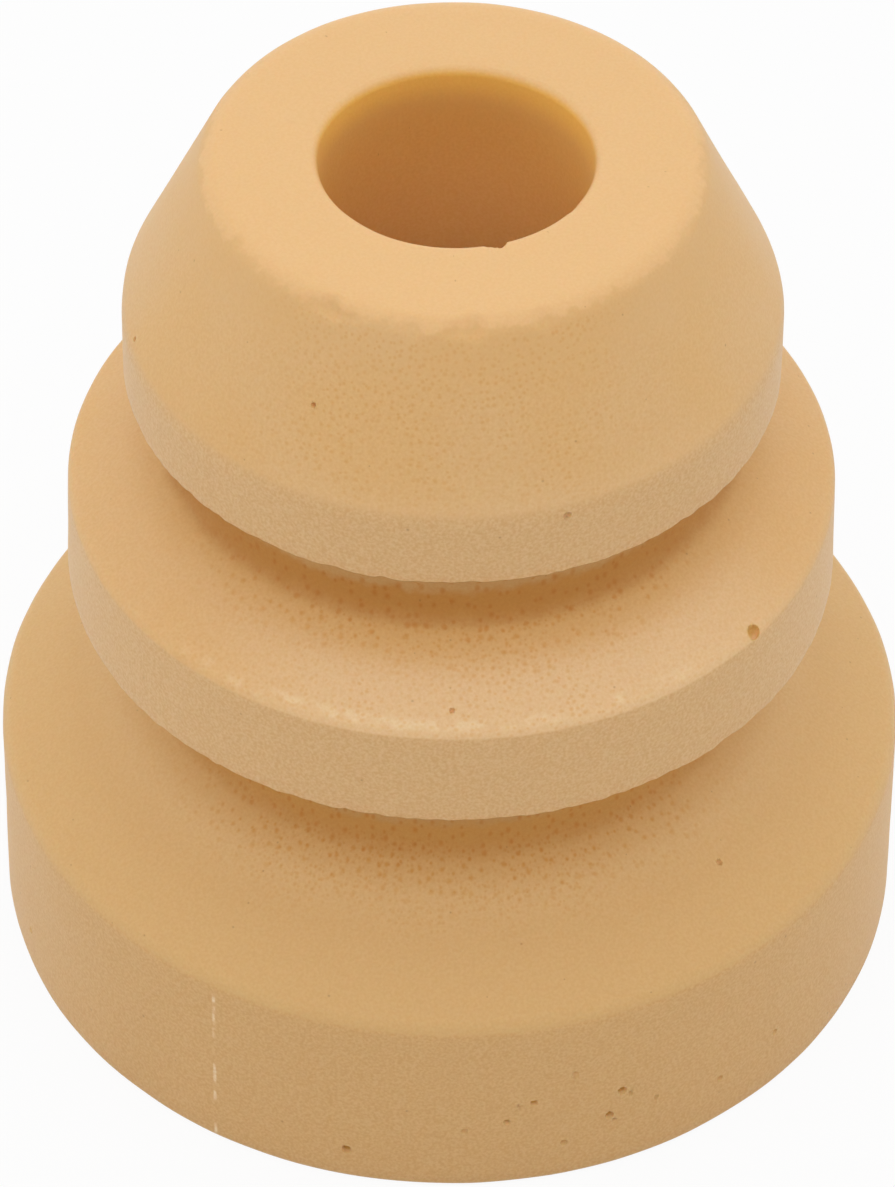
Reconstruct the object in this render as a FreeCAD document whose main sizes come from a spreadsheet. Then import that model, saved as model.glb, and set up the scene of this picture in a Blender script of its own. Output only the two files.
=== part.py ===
import FreeCAD, Part
import math
import os

import Sketcher

# A suspension bump stop: one piece of moulded cellular polyurethane that rides on a damper's
# shaft and is squeezed at the end of the stroke. It is a body of revolution about Z with three
# lobes, each smaller than the one below, two deep grooves that undercut the lobes so that they
# fold together, and a straight bore for the shaft. The origin is the middle of the seat face at
# the wide end, and +Z points along the shaft to the nose.

# Driving sizes in millimetres, and the slope in degrees.
SIZES = [
    ("bore_diameter", 16.0, "shaft bore, a light grip on a 16 mm shaft"),
    ("base_diameter", 59.0, "base lobe"),
    ("middle_diameter", 48.8, "middle lobe"),
    ("upper_diameter", 40.8, "upper lobe"),
    ("nose_diameter", 30.2, "nose face, measured to the corner that its round replaces"),
    ("lower_undercut", 5.5, "depth of the lower groove in from the middle lobe's lip"),
    ("upper_undercut", 2.9, "depth of the upper groove in from the upper lobe's lip"),
    ("shoulder_slope", 30.0, "slope of the lobes' upper sides above level"),
    ("base_band_height", 14.8, "upright band of the base lobe"),
    ("lower_gap_height", 13.8, "base shoulder up to the middle lobe's lip"),
    ("middle_band_height", 7.2, "upright band of the middle lobe"),
    ("upper_gap_height", 9.1, "middle shoulder up to the upper lobe's lip"),
    ("upper_band_height", 5.0, "upright band of the upper lobe"),
    ("nose_cone_height", 11.1, "upper shoulder up to the nose face"),
    ("root_bevel", 1.0, "legs of the bevels at the two corners of each groove's bottom"),
    ("base_shoulder_round", 2.0, "base band to its slope"),
    ("middle_shoulder_round", 1.3, "middle band to its slope"),
    ("upper_shoulder_round", 3.2, "upper band to the nose cone"),
    ("nose_round", 1.6, "nose cone to the nose face"),
    ("mouth_round", 1.0, "the bore's mouth in the nose face"),
    ("mouth_bevel", 0.8, "the bore's mouth in the seat face"),
]


def make_sheet(doc):
    """Puts the driving sizes in a spreadsheet, one row each."""
    sheet = doc.addObject("Spreadsheet::Sheet", "sizes")
    for row, (alias, value, note) in enumerate(SIZES, start=1):
        sheet.set(f"A{row}", alias)
        sheet.set(f"B{row}", str(value))
        sheet.set(f"C{row}", note)
        sheet.setAlias(f"B{row}", alias)
    doc.recompute()
    return sheet


def section_corners():
    """The section's corners from the seat up, each with its place on X and Z and its round.

    A place is a formula of the sheet's cells, so the drawing follows the sheet.
    """
    base_x = "sizes.base_diameter / 2"
    middle_x = "sizes.middle_diameter / 2"
    upper_x = "sizes.upper_diameter / 2"
    lower_root_x = f"{middle_x} - sizes.lower_undercut"
    upper_root_x = f"{upper_x} - sizes.upper_undercut"

    base_shoulder = "sizes.base_band_height"
    middle_lip = f"{base_shoulder} + sizes.lower_gap_height"
    middle_shoulder = f"{middle_lip} + sizes.middle_band_height"
    upper_lip = f"{middle_shoulder} + sizes.upper_gap_height"
    upper_shoulder = f"{upper_lip} + sizes.upper_band_height"
    nose = f"{upper_shoulder} + sizes.nose_cone_height"

    def groove(shoulder, outer_x, root_x, lip):
        """The bottom of the groove between a shoulder's slope and the lip that overhangs it."""
        slope = "tan(sizes.shoulder_slope * 1 deg)"
        foot = f"{shoulder} + (({outer_x}) - ({root_x})) * {slope}"
        return [
            (f"{root_x} + sizes.root_bevel", f"{foot} - sizes.root_bevel * {slope}", None),
            (root_x, f"{foot} + sizes.root_bevel", None),
            (root_x, f"{lip} - sizes.root_bevel", None),
            (f"{root_x} + sizes.root_bevel", lip, None),
        ]

    return [
        ("0", "0", None),
        (base_x, "0", None),
        (base_x, base_shoulder, "sizes.base_shoulder_round"),
        *groove(base_shoulder, base_x, lower_root_x, middle_lip),
        (middle_x, middle_lip, None),
        (middle_x, middle_shoulder, "sizes.middle_shoulder_round"),
        *groove(middle_shoulder, middle_x, upper_root_x, upper_lip),
        (upper_x, upper_lip, None),
        (upper_x, upper_shoulder, "sizes.upper_shoulder_round"),
        ("sizes.nose_diameter / 2", nose, "sizes.nose_round"),
        ("0", nose, None),
    ]


class Section:
    """Draws a closed half section: lines between its corners, and an arc at each rounded one."""

    START, END, MIDDLE = 1, 2, 3
    ORIGIN, HEIGHT_AXIS = -1, -2

    def __init__(self, sketch):
        self.sketch = sketch

    def value(self, formula):
        """What a formula of the sheet's cells comes to."""
        result = self.sketch.evalExpression(formula)
        return float(getattr(result, "Value", result))

    def tie(self, kind, *where):
        return self.sketch.addConstraint(Sketcher.Constraint(kind, *where))

    def drive(self, kind, formula, *where):
        """Adds a constraint whose value follows a formula of the sheet's cells."""
        index = self.tie(kind, *where, self.value(formula))
        self.sketch.renameConstraint(index, f"c{index}")
        self.sketch.setExpression(f"Constraints.c{index}", formula)

    def place(self, geometry, point, formula_x, formula_z):
        """Drives a point to its place out from the axis and up from the seat."""
        if formula_x == "0":
            self.tie("PointOnObject", geometry, point, self.HEIGHT_AXIS)
        else:
            self.drive("DistanceX", formula_x, self.ORIGIN, self.START, geometry, point)
        if formula_z == "0":
            self.tie("PointOnObject", geometry, point, self.ORIGIN)
        else:
            self.drive("DistanceY", formula_z, self.ORIGIN, self.START, geometry, point)

    def draw(self, corners):
        """Draws the outline through its corners, in order, and back to the first."""
        places = [FreeCAD.Vector(self.value(x), self.value(z), 0) for x, z, _ in corners]
        count = len(corners)
        bends = []
        for index, (_, _, radius) in enumerate(corners):
            before, after = places[index - 1], places[(index + 1) % count]
            bends.append(Bend(before, places[index], after, self.value(radius or "0")))
        lines = [
            self.sketch.addGeometry(
                Part.LineSegment(bend.leave, bends[(index + 1) % count].enter)
            )
            for index, bend in enumerate(bends)
        ]
        for index, ((x, z, radius), bend) in enumerate(zip(corners, bends)):
            before, after = lines[index - 1], lines[index]
            if radius is None:
                self.tie("Coincident", before, self.END, after, self.START)
                self.place(after, self.START, x, z)
                continue
            arc = self.sketch.addGeometry(bend.arc())
            first, last = (self.START, self.END) if bend.left else (self.END, self.START)
            self.tie("Tangent", before, self.END, arc, first)
            self.tie("Tangent", arc, last, after, self.START)
            self.drive("Radius", radius, arc)
            corner = self.sketch.addGeometry(Part.Point(places[index]), True)
            self.tie("PointOnObject", corner, self.START, before)
            self.tie("PointOnObject", corner, self.START, after)
            self.place(corner, self.START, x, z)


class Bend:
    """One corner of the outline: where its round starts and ends, and the round's arc."""

    def __init__(self, before, corner, after, radius):
        inward = (before - corner).normalize()
        outward = (after - corner).normalize()
        half_angle = inward.getAngle(outward) / 2
        reach = radius / math.tan(half_angle)
        self.radius = radius
        self.left = outward.cross(inward).z > 0
        self.enter = corner + inward * reach
        self.leave = corner + outward * reach
        middle = (inward + outward).normalize()
        self.centre = corner + middle * (radius / math.sin(half_angle))

    def arc(self):
        """The arc runs anticlockwise, so a bend to the right is drawn from its far end."""
        circle = Part.Circle(self.centre, FreeCAD.Vector(0, 0, 1), self.radius)
        first, last = (self.enter, self.leave) if self.left else (self.leave, self.enter)
        return Part.ArcOfCircle(circle, self.bearing(first), self.bearing(last))

    def bearing(self, point):
        return math.atan2(point.y - self.centre.y, point.x - self.centre.x)


def origin_plane(body, role):
    return next(f for f in body.Origin.OriginFeatures if f.Role == role)


def add_sketch(body, name, role):
    sketch = body.newObject("Sketcher::SketchObject", name)
    sketch.AttachmentSupport = [(origin_plane(body, role), "")]
    sketch.MapMode = "FlatFace"
    return sketch


def lobes(body, doc):
    """The three lobes and two grooves, turned about the shaft's axis."""
    sketch = add_sketch(body, "outer_section", "XZ_Plane")
    Section(sketch).draw(section_corners())
    doc.recompute()
    solid = body.newObject("PartDesign::Revolution", "lobes")
    solid.Profile = sketch
    solid.ReferenceAxis = (sketch, ["V_Axis"])
    solid.Angle = 360
    sketch.Visibility = False
    doc.recompute()


def shaft_bore(body, doc):
    """Cuts the shaft bore right through, from the seat face up."""
    sketch = add_sketch(body, "bore_circle", "XY_Plane")
    radius = "sizes.bore_diameter / 2"
    section = Section(sketch)
    circle = sketch.addGeometry(
        Part.Circle(FreeCAD.Vector(), FreeCAD.Vector(0, 0, 1), section.value(radius))
    )
    section.tie("Coincident", circle, Section.MIDDLE, Section.ORIGIN, Section.START)
    section.drive("Radius", radius, circle)
    volume_before = body.Shape.Volume
    cut = body.newObject("PartDesign::Pocket", "shaft_bore")
    cut.Profile = sketch
    cut.Type = "ThroughAll"
    cut.Reversed = True
    sketch.Visibility = False
    doc.recompute()
    if cut.Shape.Volume >= volume_before:
        raise RuntimeError("the bore removed nothing")


def dress_mouth(body, doc, name, kind, which_end, size, formula):
    """Rounds or bevels a mouth of the bore: the smallest ring in the end face asked for."""
    dressed = body.Tip
    rings = [
        (edge.Curve.Center.z, edge.Curve.Radius, f"Edge{number}")
        for number, edge in enumerate(dressed.Shape.Edges, start=1)
        if isinstance(edge.Curve, Part.Circle) and edge.Closed
    ]
    end = which_end(height for height, _, _ in rings)
    mouth = min(ring[1:] for ring in rings if abs(ring[0] - end) < 0.001)[1]
    feature = body.newObject(kind, name)
    feature.Base = (dressed, [mouth])
    feature.setExpression(size, formula)
    doc.recompute()


def check(doc, body):
    for item in doc.Objects:
        if "Invalid" in item.State or "Error" in item.State:
            raise RuntimeError(f"{item.Name} failed: {item.State}")
        if item.TypeId == "Sketcher::SketchObject" and item.solve() != 0:
            raise RuntimeError(f"{item.Name} doesn't solve")
    if body.Shape.isNull() or not body.Shape.isValid() or len(body.Shape.Solids) != 1:
        raise RuntimeError("the body isn't one valid solid")


def main():
    doc = FreeCAD.newDocument("bump_stop")
    make_sheet(doc)
    body = doc.addObject("PartDesign::Body", "bump_stop")
    body.Label = "bump_stop"
    lobes(body, doc)
    shaft_bore(body, doc)
    dress_mouth(
        body, doc, "nose_mouth", "PartDesign::Fillet", max, "Radius", "sizes.mouth_round"
    )
    dress_mouth(
        body, doc, "seat_mouth", "PartDesign::Chamfer", min, "Size", "sizes.mouth_bevel"
    )
    check(doc, body)

    os.makedirs("parts", exist_ok=True)
    body.Shape.exportStep(f"parts/{body.Label}.step")
    box = body.Shape.optimalBoundingBox()
    print(
        f"{body.Label}: {box.XLength:.2f} mm across, {box.ZLength:.2f} mm tall,"
        f" {body.Shape.Volume / 1000:.2f} cubic centimetres"
    )


main()
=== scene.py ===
import bpy
import bmesh
import math
from mathutils import Matrix, Vector


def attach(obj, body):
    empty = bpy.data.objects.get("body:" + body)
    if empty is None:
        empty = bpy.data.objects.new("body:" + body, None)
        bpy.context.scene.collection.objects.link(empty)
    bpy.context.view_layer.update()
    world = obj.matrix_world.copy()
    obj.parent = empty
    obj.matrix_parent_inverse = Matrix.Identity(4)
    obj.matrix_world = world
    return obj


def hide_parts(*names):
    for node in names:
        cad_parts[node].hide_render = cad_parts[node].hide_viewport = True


# The looks of a moulded foam bump stop: one turned body with its fine surface detail, its foam
# material, a white studio and the camera. Lengths are in metres, and angles in degrees where no
# note says radians.

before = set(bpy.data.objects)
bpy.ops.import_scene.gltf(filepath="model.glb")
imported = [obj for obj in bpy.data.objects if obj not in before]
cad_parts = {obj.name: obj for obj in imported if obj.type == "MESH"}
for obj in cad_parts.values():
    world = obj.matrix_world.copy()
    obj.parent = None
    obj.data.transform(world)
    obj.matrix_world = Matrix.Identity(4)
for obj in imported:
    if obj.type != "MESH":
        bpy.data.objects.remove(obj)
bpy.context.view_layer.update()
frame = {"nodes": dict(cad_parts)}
print("Frame loaded:", ", ".join(frame["nodes"]))


def editMesh(piece):
    # only this piece is selected, with nothing selected in its mesh
    if bpy.context.object and bpy.context.object.mode != "OBJECT":
        bpy.ops.object.mode_set(mode="OBJECT")
    bpy.ops.object.select_all(action="DESELECT")
    piece.select_set(True)
    bpy.context.view_layer.objects.active = piece
    bpy.ops.object.mode_set(mode="EDIT")
    bpy.ops.mesh.select_all(action="DESELECT")


def selectWhere(piece, kind, test):
    # selects the vertices, edges or faces whose middle passes the test, and says how many
    bpy.ops.mesh.select_mode(type=kind)
    bpy.ops.mesh.select_all(action="DESELECT")
    mesh = bmesh.from_edit_mesh(piece.data)
    parts = {"VERT": mesh.verts, "EDGE": mesh.edges, "FACE": mesh.faces}[kind]
    chosen = [part for part in parts if test(part)]
    for part in chosen:
        part.select_set(True)
    mesh.select_flush_mode()
    bmesh.update_edit_mesh(piece.data, loop_triangles=False, destructive=False)
    return len(chosen)


def reach(point):
    # distance out from the bore's axis
    return math.hypot(point.x, point.y)


# the turned body
body = {
    "around": 480,  # facets round the axis
    "rowHeight": 0.00075,  # rows on the outside
    "hiddenRowHeight": 0.0025,  # rows in the bore and on the seat face
    # rings of the section up from the seat's edge: radius, height, round, steps of the round
    "rings": [
        (0.02948, 0.0000, 0.0005, 3),  # seat edge
        (0.02928, 0.0148, 0.0015, 7),  # base shoulder
        (0.01890, 0.0208, 0.0014, 5),  # foot of the lower groove
        (0.01890, 0.0286, 0.0012, 4),  # roof of the lower groove
        (0.02444, 0.0286, 0.00018, 2),  # middle lip
        (0.02418, 0.0358, 0.0010, 5),  # middle shoulder
        (0.01750, 0.0397, 0.0013, 5),  # foot of the upper groove
        (0.01750, 0.0449, 0.0010, 4),  # roof of the upper groove
        (0.02042, 0.0449, 0.00018, 2),  # upper lip
        (0.02036, 0.0499, 0.0032, 6),  # upper shoulder
        (0.01510, 0.0610, 0.0016, 6),  # nose edge
        (0.00800, 0.0610, 0.0006, 4),  # bore mouth in the nose
        (0.00800, 0.0000, 0.0008, 2),  # bore mouth in the seat
    ],
    # the bore's worn mouth: which vertices move, how far, and how far down it fades
    "mouthWear": {
        "above": 0.0602,
        "within": 0.0087,
        "stretch": (1.036, 1.002, 1),
        "shift": (0.00012, 0, 0),
        "reach": 0.0045,
    },
}


def onRing(part, radius, height, slack=0.00001):
    return all(
        abs(v.co.z - height) < slack and abs(reach(v.co) - radius) < slack for v in part.verts
    )


def turnBody(name, sizes):
    rings = sizes["rings"]
    bpy.ops.object.select_all(action="DESELECT")
    bpy.ops.mesh.primitive_circle_add(
        vertices=sizes["around"], radius=rings[0][0], location=(0, 0, 0)
    )
    piece = bpy.context.object
    piece.name = piece.data.name = name
    bpy.ops.object.mode_set(mode="EDIT")
    bpy.ops.mesh.select_all(action="SELECT")
    for (radius, height, *_), (nextRadius, nextHeight, *_) in zip(rings, rings[1:]):
        rise = nextHeight - height
        bpy.ops.mesh.extrude_region_move(TRANSFORM_OT_translate={"value": (0, 0, rise)})
        grow = nextRadius / radius
        bpy.ops.transform.resize(value=(grow, grow, 1), center_override=(0, 0, 0))
    # the seat face closes the body between the bore and the first ring
    selectWhere(piece, "EDGE", lambda edge: edge.is_boundary)
    bpy.ops.mesh.bridge_edge_loops()
    bpy.ops.mesh.select_all(action="SELECT")
    bpy.ops.mesh.normals_make_consistent(inside=False)
    return piece


def roundRings(piece, sizes):
    rings = sizes["rings"]
    places = [Vector((radius, height)) for radius, height, *_ in rings]
    for index, (radius, height, roundRadius, steps) in enumerate(rings):
        before = (places[index - 1] - places[index]).normalized()
        after = (places[(index + 1) % len(rings)] - places[index]).normalized()
        offset = roundRadius / math.tan(before.angle(after) / 2)
        selectWhere(piece, "EDGE", lambda edge: onRing(edge, radius, height))
        bpy.ops.mesh.bevel(
            offset=offset, segments=steps, profile=0.5, affect="EDGES", clamp_overlap=False
        )


def addRows(piece, sizes):
    # each band between two rings is cut into rows, all edges that cross it at once
    def crossing(edge):
        first, second = (v.co for v in edge.verts)
        return math.hypot(reach(first) - reach(second), first.z - second.z)

    def band(edge):
        first, second = (v.co for v in edge.verts)
        return (
            round((reach(first) + reach(second)) * 50000),
            round((first.z + second.z) * 50000),
        )

    mesh = bmesh.from_edit_mesh(piece.data)
    bands = {}
    for edge in mesh.edges:
        if crossing(edge) > sizes["rowHeight"] * 1.5:
            bands[band(edge)] = crossing(edge)
    hidden = sizes["rings"][-1][0] + 0.00001
    for place, length in bands.items():
        first = place[0] / 100000 < hidden or place[1] == 0
        row = sizes["hiddenRowHeight"] if first else sizes["rowHeight"]
        cuts = round(length / row) - 1
        if cuts < 1:
            continue
        selectWhere(
            piece, "EDGE",
            lambda edge: band(edge) == place and crossing(edge) > sizes["rowHeight"] * 1.5,
        )
        bpy.ops.mesh.subdivide(number_cuts=cuts)


def wearMouth(piece, wear):
    # the bore's mouth in the nose is worn a little wide and oval, less and less down the bore
    selectWhere(
        piece, "VERT", lambda v: v.co.z > wear["above"] and reach(v.co) < wear["within"]
    )
    soft = {
        "use_proportional_edit": True,
        "proportional_edit_falloff": "SMOOTH",
        "proportional_size": wear["reach"],
    }
    bpy.ops.transform.resize(value=wear["stretch"], center_override=(0, 0, 0), **soft)
    bpy.ops.transform.translate(value=wear["shift"], **soft)


foam = turnBody("foam_body", body)
roundRings(foam, body)
addRows(foam, body)
wearMouth(foam, body["mouthWear"])
bpy.ops.object.mode_set(mode="OBJECT")
print("Body turned:", len(foam.data.polygons), "faces")


# the uneven moulded surface
uneven = {
    "waveSize": 0.006,  # soft unevenness of the faces
    "waveDepth": 0.00010,
    "lipWaveSize": 0.0011,  # torn edge of the two lips
    "lipWaveDepth": 0.00045,
    "lipBand": 0.0006,  # how far from a lip its torn edge reaches
}


def addDisplace(piece, name, waveSize, depth, direction, middle, group=""):
    wave = bpy.data.textures.new(name, "CLOUDS")
    wave.noise_scale = waveSize
    wave.noise_depth = 1
    modifier = piece.modifiers.new(name, "DISPLACE")
    modifier.texture = wave
    modifier.texture_coords = "LOCAL"
    modifier.strength = depth
    modifier.mid_level = middle
    modifier.direction = direction
    modifier.vertex_group = group
    bpy.ops.object.modifier_apply(modifier=name)


def lipGroup(piece, sizes, reachOut):
    # weights fall from the lips' edges, for the torn edge
    lips = [(radius, height) for radius, height, rounding, _ in sizes["rings"] if rounding < 0.0003]
    group = piece.vertex_groups.new(name="lips")
    for vertex in piece.data.vertices:
        away = min(
            math.hypot(reach(vertex.co) - radius, vertex.co.z - height)
            for radius, height in lips
        )
        if away < reachOut:
            group.add([vertex.index], 1 - away / reachOut, "REPLACE")
    return group.name


bpy.context.view_layer.objects.active = foam
lips = lipGroup(foam, body, uneven["lipBand"])
addDisplace(foam, "softWave", uneven["waveSize"], uneven["waveDepth"], "NORMAL", 1.0)
addDisplace(foam, "tornLip", uneven["lipWaveSize"], uneven["lipWaveDepth"], "Z", 0.5, lips)
foam.vertex_groups.clear()
print("Surface made uneven")


# pits and nicks, each pressed in along its own direction: azimuth from the front towards the
# right, radius and height of its middle, its own radius, its depth, and how far up the push leans
marks = {
    "basePits": [
        (22.3, 0.02936, 0.00689, 0.00030, 0.00042, 0),
        (23.0, 0.02936, 0.00630, 0.00020, 0.00020, 0),
        (20.6, 0.02936, 0.00492, 0.00028, 0.00040, 0),
        (21.3, 0.02936, 0.00420, 0.00018, 0.00014, 0),
        (10.9, 0.02934, 0.00745, 0.00024, 0.00030, 0),
        (9.2, 0.02934, 0.00734, 0.00016, 0.00014, 0),
        (7.5, 0.02935, 0.00597, 0.00022, 0.00026, 0),
        (14.8, 0.02938, 0.00324, 0.00022, 0.00026, 0),
        (2.2, 0.02938, 0.00536, 0.00020, 0.00020, 0),
        (36.5, 0.02937, 0.00401, 0.00022, 0.00022, 0),
        (45.7, 0.02937, 0.00495, 0.00022, 0.00020, 0),
        (16.0, 0.02932, 0.00963, 0.00020, 0.00016, 0),
        (27.0, 0.02936, 0.00515, 0.00018, 0.00018, 0),
        (-12.4, 0.02941, 0.00276, 0.00032, 0.00050, 0),
        (96.0, 0.02936, 0.00560, 0.00026, 0.00032, 0),
        (143.0, 0.02934, 0.00820, 0.00022, 0.00026, 0),
        (147.0, 0.02936, 0.00430, 0.00030, 0.00040, 0),
        (-112.0, 0.02935, 0.00650, 0.00024, 0.00030, 0),
        (-68.0, 0.02935, 0.00360, 0.00020, 0.00022, 0),
        (-159.0, 0.02934, 0.00930, 0.00020, 0.00020, 0),
    ],
    "slopePits": [
        (50.9, 0.02392, 0.03579, 0.00046, 0.00048, 60),  # beside the middle shoulder
        (0.4, 0.02275, 0.03658, 0.00016, 0.00026, 60),
        (44.5, 0.02439, 0.01756, 0.00020, 0.00024, 60),
        (-27.3, 0.01782, 0.05509, 0.00015, 0.00030, 25),
        (-74.8, 0.01998, 0.05059, 0.00015, 0.00030, 25),
        (19.8, 0.02029, 0.04941, 0.00026, 0.00026, 10),
        (-151.0, 0.02300, 0.01830, 0.00024, 0.00026, 60),
        (128.0, 0.01700, 0.05680, 0.00020, 0.00024, 25),
    ],
    "rimNicks": [
        (16.4, 0.00822, 0.06072, 0.00055, 0.00012, 150),  # notch in the front rim of the bore
        (18.8, 0.00822, 0.06072, 0.00052, 0.00026, 150),
        (57.0, 0.00845, 0.06088, 0.00060, 0.00004, 150),
    ],
    "noseNicks": [
        (-28.6, 0.01500, 0.06050, 0.00100, 0.00036, 60),  # front edge of the nose face
        (-26.4, 0.01520, 0.06030, 0.00070, 0.00024, 60),
        (-23.6, 0.01515, 0.06035, 0.00080, 0.00022, 60),
        (-33.0, 0.01510, 0.06035, 0.00090, 0.00020, 60),
        (4.6, 0.01490, 0.06055, 0.00110, 0.00034, 60),
        (0.4, 0.01512, 0.06040, 0.00080, 0.00020, 60),
        (21.0, 0.01508, 0.06040, 0.00100, 0.00018, 60),
        (-9.0, 0.01512, 0.06040, 0.00090, 0.00016, 60),
    ],
}


# how often faces are cut first, and how the push falls off
markKinds = {
    "basePits": (5, "SPHERE"),
    "slopePits": (7, "SPHERE"),
    "rimNicks": (2, "SPHERE"),
    "noseNicks": (1, "SMOOTH"),
}


def atPlace(azimuth, radius, height):
    turn = math.radians(azimuth)
    return Vector((radius * math.sin(turn), -radius * math.cos(turn), height))


def pressMark(piece, cuts, falloff, azimuth, radius, height, size, depth, lean):
    middle = atPlace(azimuth, radius, height)
    inward = -atPlace(azimuth, math.cos(math.radians(lean)), math.sin(math.radians(lean)))
    # finer faces first, each cut only once, then a bowl pushed in with proportional editing
    count = selectWhere(
        piece, "FACE",
        lambda face: (face.verts[0].co - middle).length < size + 0.0007
        and (face.calc_center_median() - middle).length < size + 0.0003
        and face.calc_area() > 2e-8,
    )
    if count:
        bpy.ops.mesh.subdivide(number_cuts=cuts)
    bpy.ops.mesh.select_mode(type="VERT")
    bpy.ops.mesh.select_all(action="DESELECT")
    mesh = bmesh.from_edit_mesh(piece.data)
    nearest = min(mesh.verts, key=lambda vertex: (vertex.co - middle).length)
    nearest.select_set(True)
    bmesh.update_edit_mesh(piece.data, loop_triangles=False, destructive=False)
    bpy.ops.transform.translate(
        value=inward * depth,
        use_proportional_edit=True,
        proportional_edit_falloff=falloff,
        proportional_size=size,
    )


editMesh(foam)
for kind, places in marks.items():
    cuts, falloff = markKinds[kind]
    for place in places:
        pressMark(foam, cuts, falloff, *place)
bpy.ops.object.mode_set(mode="OBJECT")
bpy.ops.object.shade_smooth_by_angle(angle=math.radians(38))
print("Marks pressed:", len(foam.data.polygons), "faces")


# the foam's colours, in linear values, and its pattern
foamLook = {
    "tan": (0.780, 0.481, 0.207),
    "gold": (0.780, 0.470, 0.188),  # soft patches
    "paleLit": (0.836, 0.516, 0.227),  # nose face, painted lighter where its flat top faces the lamps
    "rosyLit": (0.847, 0.563, 0.290),  # front of the middle slope: its own pinker tone, and painted light where it faces the camera and lamp
    "band": (0.760, 0.470, 0.208),  # upright walls, picked by which way they face: painted shade and sheen, a little darker and greyer
    # painted shade: the base darker towards the bottom, paler in its upper part, and its upright
    # wall darker than the upper ones
    "base": (0.735, 0.455, 0.182),
    "basePale": (0.778, 0.505, 0.219),  # its upper part
    "shadedBaseBand": (0.730, 0.433, 0.168),
    "fringeShade": (0.724, 0.428, 0.142),  # painted shade, darker and more golden just outside the grooves
    "neckShade": (0.614, 0.341, 0.114),  # painted shade on the walls of the grooves
    "lowerFootShade": (0.634, 0.314, 0.070),  # painted shade, darker and redder at their feet, where light hardly reaches
    "upperFootShade": (0.566, 0.254, 0.045),
    "boreRimGlow": (0.965, 0.558, 0.122),  # painted light: a golden glow on the far side of the bore's rim, as if light shone through it
    # painted shade near the bore's top, darker and redder, and painted bounce light deep down,
    # brighter
    "boreWallShade": (0.817, 0.456, 0.133),
    "boreDeepLight": (0.960, 0.622, 0.261),
    "cellTint": (0.95, 0.85, 0.69),  # what an open cell multiplies the colour by
    "rustTint": (0.92, 0.74, 0.45),  # and one beside a groove
    "speckTint": (0.55, 0.42, 0.30),
    # painted shade inside the pits
    "pitShadeTint": (0.90, 0.80, 0.45),
    "glintAndParting": (0.90, 0.66, 0.38),  # painted highlight on the middle shoulder, and whitish skin on the parting line
    "partingAngle": -0.524,  # radians from the front
    "patchSize": 0.009,
    "raggedSize": 0.0012,  # edges between tones wander
    "raggedDepth": 0.0016,
    "brokenSize": 0.0015,  # gaps in the whitish streak
    "blotchSize": 0.003,  # the finest cells come in blotches
    # cells: spacing, radius of the largest in spacings, and the part of them that shows
    "fineCells": (0.00050, 0.46, 0.95),
    "largeCells": (0.00085, 0.42, 0.7),
    "specks": (0.0024, 0.055, 0.12),
    # masks beside the two grooves, for their painted shade and for the rusty cells: root, how far
    # out they reach, foot and roof
    "neckShades": ((0.0189, 0.0201, 0.0208, 0.0286), (0.0175, 0.0188, 0.0397, 0.0449)),
    "fringeShades": ((0.0190, 0.0226, 0.0208, 0.0286), (0.0177, 0.0210, 0.0397, 0.0449)),
    "rustyCells": ((0.0200, 0.0245, 0.0200, 0.0286), (0.0180, 0.0225, 0.0390, 0.0449)),
    "roughness": 0.60,
    "gloss": 0.4,
    "sheen": 0.13,
    "sheenRoughness": 0.45,
    "subsurface": 0.25,
    "subsurfaceRadius": (1.0, 0.42, 0.14),
    "subsurfaceScale": 0.0010,
    "grainDark": (0.94, 0.88, 0.79),
    "grainLight": (1.045, 1.105, 1.20),
    "grainSize": 0.00019,
    "grainHeight": 0.000016,
}


def feed(tree, node, values):
    # a socket is linked and anything else is set
    for name, value in values.items():
        if isinstance(value, bpy.types.NodeSocket):
            tree.links.new(value, node.inputs[name])
        else:
            node.inputs[name].default_value = value


def calc(tree, operation, first, second=0.0):
    node = tree.nodes.new("ShaderNodeMath")
    node.operation = operation
    feed(tree, node, {0: first, 1: second})
    return node.outputs[0]


def fade(tree, value, start, end, low=0.0, high=1.0):
    # goes smoothly from low at start to high at end
    node = tree.nodes.new("ShaderNodeMapRange")
    node.interpolation_type = "SMOOTHSTEP"
    feed(tree, node, {0: value, 1: start, 2: end, 3: low, 4: high})
    return node.outputs[0]


def blend(tree, share, first, second, kind="MIX"):
    node = tree.nodes.new("ShaderNodeMix")
    node.data_type = "RGBA"
    node.blend_type = kind
    first, second = (
        value if isinstance(value, bpy.types.NodeSocket) else (*value, 1)
        for value in (first, second)
    )
    feed(tree, node, {0: share, 6: first, 7: second})
    return node.outputs[2]


def noise(tree, place, size, detail=2.0):
    node = tree.nodes.new("ShaderNodeTexNoise")
    feed(tree, node, {"Vector": place, "Scale": 1 / size, "Detail": detail})
    return node.outputs[0]


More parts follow.
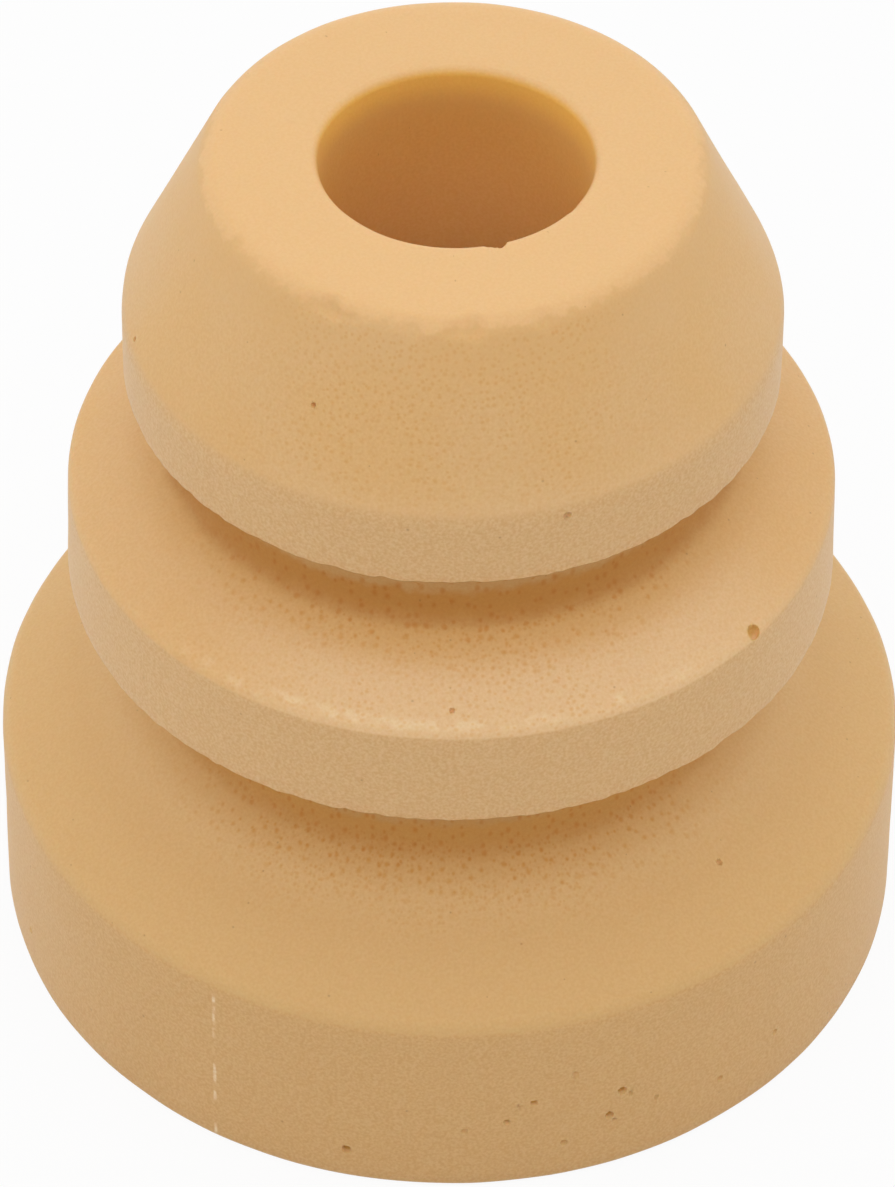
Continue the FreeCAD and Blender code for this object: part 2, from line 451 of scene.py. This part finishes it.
def makeCellGroup():
    # round open cells of a foam over an unrolled surface: Size is their spacing, Reach the radius
    # of the largest in spacings, and Share the part of them that shows
    group = bpy.data.node_groups.new("openCells", "ShaderNodeTree")
    group.interface.new_socket("Place", in_out="INPUT", socket_type="NodeSocketVector")
    for name in ("Size", "Reach", "Share"):
        group.interface.new_socket(name, in_out="INPUT", socket_type="NodeSocketFloat")
    group.interface.new_socket("Mask", in_out="OUTPUT", socket_type="NodeSocketFloat")
    given = group.nodes.new("NodeGroupInput").outputs
    cells = group.nodes.new("ShaderNodeTexVoronoi")
    cells.voronoi_dimensions = "2D"
    feed(group, cells, {
        "Vector": given["Place"],
        "Scale": calc(group, "DIVIDE", 1.0, given["Size"]),
        "Randomness": 0.85,
    })
    pick = group.nodes.new("ShaderNodeSeparateColor")
    feed(group, pick, {0: cells.outputs["Color"]})
    shown = calc(group, "LESS_THAN", pick.outputs[0], given["Share"])
    spread = fade(group, pick.outputs[1], 0.0, 1.0, 0.6, 1.0)
    edge = calc(group, "MULTIPLY", given["Reach"], spread)
    inside = fade(group, calc(group, "DIVIDE", cells.outputs["Distance"], edge), 0.1, 1.0, 1.0, 0.0)
    result = group.nodes.new("NodeGroupOutput")
    feed(group, result, {"Mask": calc(group, "MULTIPLY", inside, shown)})
    return group


def addCells(tree, group, place, size, reachOut, share):
    node = tree.nodes.new("ShaderNodeGroup")
    node.node_tree = group
    feed(tree, node, {"Place": place, "Size": size, "Reach": reachOut, "Share": share})
    return node.outputs["Mask"]


def makeFoam(name, look):
    material = bpy.data.materials.new(name)
    material.use_nodes = True
    tree = material.node_tree
    nodes = tree.nodes
    shader = nodes["Principled BSDF"]

    def both(first, second):
        return calc(tree, "MULTIPLY", first, second)

    def either(first, second):
        return calc(tree, "MAXIMUM", first, second)

    def away(value, middle=0.0):
        return calc(tree, "ABSOLUTE", calc(tree, "SUBTRACT", value, middle))

    def ramp(value, *ends):
        return fade(tree, value, *ends)

    source = nodes.new("ShaderNodeTexCoord").outputs
    place = source["Object"]
    split = nodes.new("ShaderNodeSeparateXYZ")
    feed(tree, split, {0: place})
    x, y, height = split.outputs
    out = calc(tree, "SQRT", calc(tree, "ADD", both(x, x), both(y, y)))
    azimuth = calc(tree, "ARCTAN2", x, both(y, -1.0))
    fromFront = away(azimuth)

    # the surface unrolled: along the turn by each lobe's own radius, and up the section
    lobe = calc(
        tree, "ADD",
        ramp(height, 0.0246, 0.0248, 0.0265, 0.0215),
        ramp(height, 0.0419, 0.0421, 0.0, -0.0035),
    )
    unroll = nodes.new("ShaderNodeCombineXYZ")
    upSection = both(calc(tree, "SUBTRACT", height, out), 0.8)
    feed(tree, unroll, {0: both(azimuth, lobe), 1: upSection, 2: 0.0})
    flat = unroll.outputs[0]

    # edges between tones wander a little, less so in the grooves
    wander = calc(tree, "SUBTRACT", noise(tree, place, look["raggedSize"], 3.0), 0.5)
    ragged = both(wander, look["raggedDepth"])
    raggedHeight = calc(tree, "ADD", height, ragged)
    raggedOut = calc(tree, "ADD", out, both(ragged, 0.3))

    def groove(root, lip, foot, roof):
        depth = ramp(raggedOut, lip, root)
        above = ramp(height, foot - 0.0035, foot - 0.0010)
        below = ramp(height, roof + 0.0004, roof)
        return both(depth, both(above, below))

    # masks: grooves, bore, upright mould walls, nose face and front of the middle slope
    lower, upper = (groove(*ends) for ends in look["neckShades"])
    fringeShade = either(*(groove(*ends) for ends in look["fringeShades"]))
    nearGroove = either(*(groove(*ends) for ends in look["rustyCells"]))
    bore = both(ramp(out, 0.0088, 0.0084), ramp(height, 0.06095, 0.0605))
    facing = nodes.new("ShaderNodeSeparateXYZ")
    feed(tree, facing, {0: source["Normal"]})
    band = both(ramp(away(facing.outputs[2]), 0.38, 0.20), ramp(out, 0.0195, 0.0200))
    litNoseFace = ramp(raggedHeight, 0.0603, 0.0607)
    litSlopeFront = both(
        both(ramp(height, 0.0345, 0.0352), ramp(out, 0.0190, 0.0218)),
        ramp(away(azimuth, 0.2), 1.1, 0.4),
    )

    # tones of the outside: random patches, then painted light on the nose face and the front of the
    # middle slope, and painted shade on the upright walls and down the base
    patches = ramp(noise(tree, place, look["patchSize"], 1.0), 0.40, 0.65)
    color = blend(tree, patches, look["tan"], look["gold"])
    # painted shade: the base darker towards the bottom
    shadedBaseColor = blend(tree, ramp(out, 0.0248, 0.0215), look["base"], look["basePale"])
    color = blend(tree, ramp(height, 0.0260, 0.0215), color, shadedBaseColor)
    # the middle slope's front: pinker in tone and painted lighter
    color = blend(tree, litSlopeFront, color, look["rosyLit"])
    # painted light: the nose face lighter
    color = blend(tree, litNoseFace, color, look["paleLit"])
    # painted shade and sheen on the upright walls, darker still on the base
    wallShadeColor = blend(tree, ramp(height, 0.0200, 0.0190), look["band"], look["shadedBaseBand"])
    color = blend(tree, band, color, wallShadeColor)

    # painted shade in the grooves, and painted shade and light in the bore
    lowerShadeColor = blend(tree, ramp(raggedHeight, 0.0219, 0.0229), look["lowerFootShade"], look["neckShade"])
    upperShadeColor = blend(tree, ramp(raggedHeight, 0.0409, 0.0418), look["upperFootShade"], look["neckShade"])
    # painted shade just outside the grooves
    color = blend(tree, both(fringeShade, 0.75), color, look["fringeShade"])
    # painted shade in the two grooves
    color = blend(tree, lower, color, lowerShadeColor)
    color = blend(tree, upper, color, upperShadeColor)
    # painted shade near the top of the bore and painted bounce light deeper down
    boreShadeAndLight = blend(tree, ramp(height, 0.058, 0.046), look["boreWallShade"], look["boreDeepLight"])
    # painted light: a golden glow on the far side of the rim
    rimGlow = both(ramp(height, 0.0582, 0.0603), ramp(y, -0.0020, 0.0050))
    boreShadeAndLight = blend(tree, rimGlow, boreShadeAndLight, look["boreRimGlow"])
    color = blend(tree, bore, color, boreShadeAndLight)

    # a broken whitish streak: a painted highlight on the front of the middle shoulder, and the
    # parting line's whitish skin, a hairline up the base
    broken = ramp(noise(tree, place, look["brokenSize"], 2.0), 0.45, 0.60)
    shoulderGlint = both(
        both(ramp(out, 0.0231, 0.0235), ramp(out, 0.0240, 0.0237)),
        both(ramp(height, 0.0345, 0.0350), ramp(fromFront, 0.9, 0.4)),
    )
    parting = both(
        ramp(away(azimuth, look["partingAngle"]), 0.006, 0.0015),
        both(ramp(height, 0.0150, 0.0135), ramp(out, 0.0285, 0.0290)),
    )
    glintAndParting = both(either(both(shoulderGlint, 0.7), parting), broken)
    color = blend(tree, glintAndParting, color, look["glintAndParting"])

    # open cells: finest over the fronts of the slopes, larger and rusty beside the grooves
    group = makeCellGroup()
    front = ramp(fromFront, 0.95, 0.35, 0.15, 1.0)
    middlePart = both(ramp(height, 0.0350, 0.0360), ramp(height, 0.0400, 0.0390))
    basePart = both(ramp(out, 0.0265, 0.0215), ramp(height, 0.0215, 0.0208))
    upperPart = both(ramp(height, 0.0604, 0.0598), ramp(height, 0.0490, 0.0520, 0.0, 0.9))
    slopes = either(middlePart, either(basePart, upperPart))
    blotches = ramp(noise(tree, place, look["blotchSize"], 1.0), 0.35, 0.60, 0.45, 1.0)
    fineCells = addCells(tree, group, flat, *look["fineCells"])
    fine = both(fineCells, both(both(front, slopes), blotches))
    largeCells = addCells(tree, group, flat, *look["largeCells"])
    large = both(largeCells, both(nearGroove, ramp(fromFront, 1.1, 0.6, 0.15, 0.9)))
    specks = addCells(tree, group, flat, *look["specks"])
    color = blend(tree, fine, color, look["cellTint"], "MULTIPLY")
    color = blend(tree, large, color, look["rustTint"], "MULTIPLY")
    color = blend(tree, both(specks, 0.5), color, look["speckTint"], "MULTIPLY")

    # painted shade in the pits, golden inside: those of the base, and the one beside the middle
    # shoulder
    pitShade = both(
        both(ramp(out, 0.02920, 0.02908), ramp(out, 0.0280, 0.0284)),
        both(ramp(height, 0.0010, 0.0016), ramp(height, 0.0125, 0.0120)),
    )
    fromPit = nodes.new("ShaderNodeVectorMath")
    fromPit.operation = "DISTANCE"
    feed(tree, fromPit, {0: place, 1: atPlace(*marks["slopePits"][0][:3])})
    pitShade = either(pitShade, ramp(fromPit.outputs["Value"], 0.00060, 0.00040))
    color = blend(tree, pitShade, color, look["pitShadeTint"], "MULTIPLY")

    # fine grain, strongest on the mould walls
    grain = noise(tree, place, look["grainSize"], 2.0)
    grainColor = blend(tree, ramp(grain, 0.25, 0.75), look["grainDark"], look["grainLight"])
    grainShare = either(band, ramp(height, 0.0590, 0.0560, 0.25, 0.45))
    color = blend(tree, grainShare, color, grainColor, "MULTIPLY")
    bump = nodes.new("ShaderNodeBump")
    feed(tree, bump, {"Strength": 1.0, "Distance": look["grainHeight"], "Height": grain})

    feed(tree, shader, {
        "Base Color": color,
        "Normal": bump.outputs[0],
        "Roughness": look["roughness"],
        "Specular IOR Level": look["gloss"],
        "Sheen Weight": both(calc(tree, "SUBTRACT", 1.0, bore), look["sheen"]),
        "Sheen Roughness": look["sheenRoughness"],
        "Subsurface Weight": look["subsurface"],
        "Subsurface Radius": look["subsurfaceRadius"],
        "Subsurface Scale": look["subsurfaceScale"],
    })
    return material


foam.data.materials.append(makeFoam("mouldedFoam", foamLook))
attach(foam, "root")
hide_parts("bump_stop")
print("Foam material made")


# a white studio
studio = {
    "floorSize": 3.0,
    "floorColor": 0.80,
    "floorDrop": 0.00005,  # under the seat, so that the two faces don't meet
    "floorGlow": 0.93,  # share of the floor that the camera sees as plain white
    "skyLight": 0.99,
    "frontLight": 0.30,  # the sky is dimmer on the camera's side
    "frontFade": (0.35, 0.75),
    "lampPower": 0.265,
    "lampSize": 0.3,
    "lampPlace": (-0.035, -0.25, 0.33),
    "aim": (0.0, 0.0, 0.03),
}


def seenDirectly(tree):
    # 1 for rays from the camera, a mirror or clear glass
    path = tree.nodes.new("ShaderNodeLightPath").outputs
    seen = calc(tree, "MAXIMUM", path["Is Camera Ray"], path["Is Glossy Ray"])
    return calc(tree, "MAXIMUM", seen, path["Is Transmission Ray"])


def makeFloor(sizes):
    bpy.ops.object.select_all(action="DESELECT")
    bpy.ops.mesh.primitive_plane_add(size=sizes["floorSize"], location=(0, 0, -sizes["floorDrop"]))
    floor = bpy.context.object
    floor.name = "studio_floor"
    material = bpy.data.materials.new("floorPaper")
    material.use_nodes = True
    tree = material.node_tree
    paper = tree.nodes["Principled BSDF"]
    feed(tree, paper, {
        "Base Color": (*[sizes["floorColor"]] * 3, 1),
        "Roughness": 1.0,
        "Specular IOR Level": 0.0,
    })
    glow = tree.nodes.new("ShaderNodeEmission")
    mix = tree.nodes.new("ShaderNodeMixShader")
    share = calc(tree, "MULTIPLY", seenDirectly(tree), sizes["floorGlow"])
    feed(tree, mix, {0: share, 1: paper.outputs[0], 2: glow.outputs[0]})
    feed(tree, tree.nodes["Material Output"], {"Surface": mix.outputs[0]})
    floor.data.materials.append(material)


def makeLight(sizes):
    world = bpy.data.worlds.new("studioSky")
    bpy.context.scene.world = world
    world.use_nodes = True
    tree = world.node_tree
    direction = tree.nodes.new("ShaderNodeSeparateXYZ")
    feed(tree, direction, {0: tree.nodes.new("ShaderNodeTexCoord").outputs["Generated"]})
    front = calc(tree, "MULTIPLY", direction.outputs[1], -1.0)
    dim = fade(tree, front, *sizes["frontFade"], sizes["skyLight"], sizes["frontLight"])
    seen = seenDirectly(tree)
    unseen = calc(tree, "MULTIPLY", dim, calc(tree, "SUBTRACT", 1.0, seen))
    feed(tree, tree.nodes["Background"], {
        "Color": (1, 1, 1, 1),
        "Strength": calc(tree, "ADD", unseen, seen),
    })

    bpy.ops.object.light_add(type="AREA", location=sizes["lampPlace"])
    lamp = bpy.context.object
    lamp.name = "overhead_softbox"
    lamp.data.energy = sizes["lampPower"]
    lamp.data.shape = "SQUARE"
    lamp.data.size = sizes["lampSize"]
    toward = Vector(sizes["aim"]) - Vector(sizes["lampPlace"])
    lamp.rotation_euler = toward.to_track_quat("-Z", "Y").to_euler()


makeFloor(studio)
makeLight(studio)
print("Studio lit")


# the camera
view = {
    "elevation": 44.603,  # above level
    "roll": 0.478,
    "distance": 0.38401,
    "lens": 180.97,  # millimetres on a 36 mm frame
    "aim": (-0.000188, 0.0, 0.02403),
}


def makeCamera(sizes):
    rise = math.radians(sizes["elevation"])
    turn = math.radians(sizes["roll"])
    back = Vector((0, -math.cos(rise), math.sin(rise)))
    right = Vector((1, 0, 0))
    up = back.cross(right)
    across = right * math.cos(turn) + up * math.sin(turn)
    upward = up * math.cos(turn) - right * math.sin(turn)
    place = Matrix((across, upward, back)).transposed().to_4x4()
    place.translation = Vector(sizes["aim"]) + back * sizes["distance"]
    bpy.ops.object.camera_add()
    camera = bpy.context.object
    camera.name = "photo_camera"
    camera.matrix_world = place
    camera.data.lens = sizes["lens"]
    camera.data.sensor_width = 36
    camera.data.clip_start = 0.01
    bpy.context.scene.camera = camera


makeCamera(view)
bpy.context.scene.view_settings.view_transform = "Standard"
print("Camera placed")
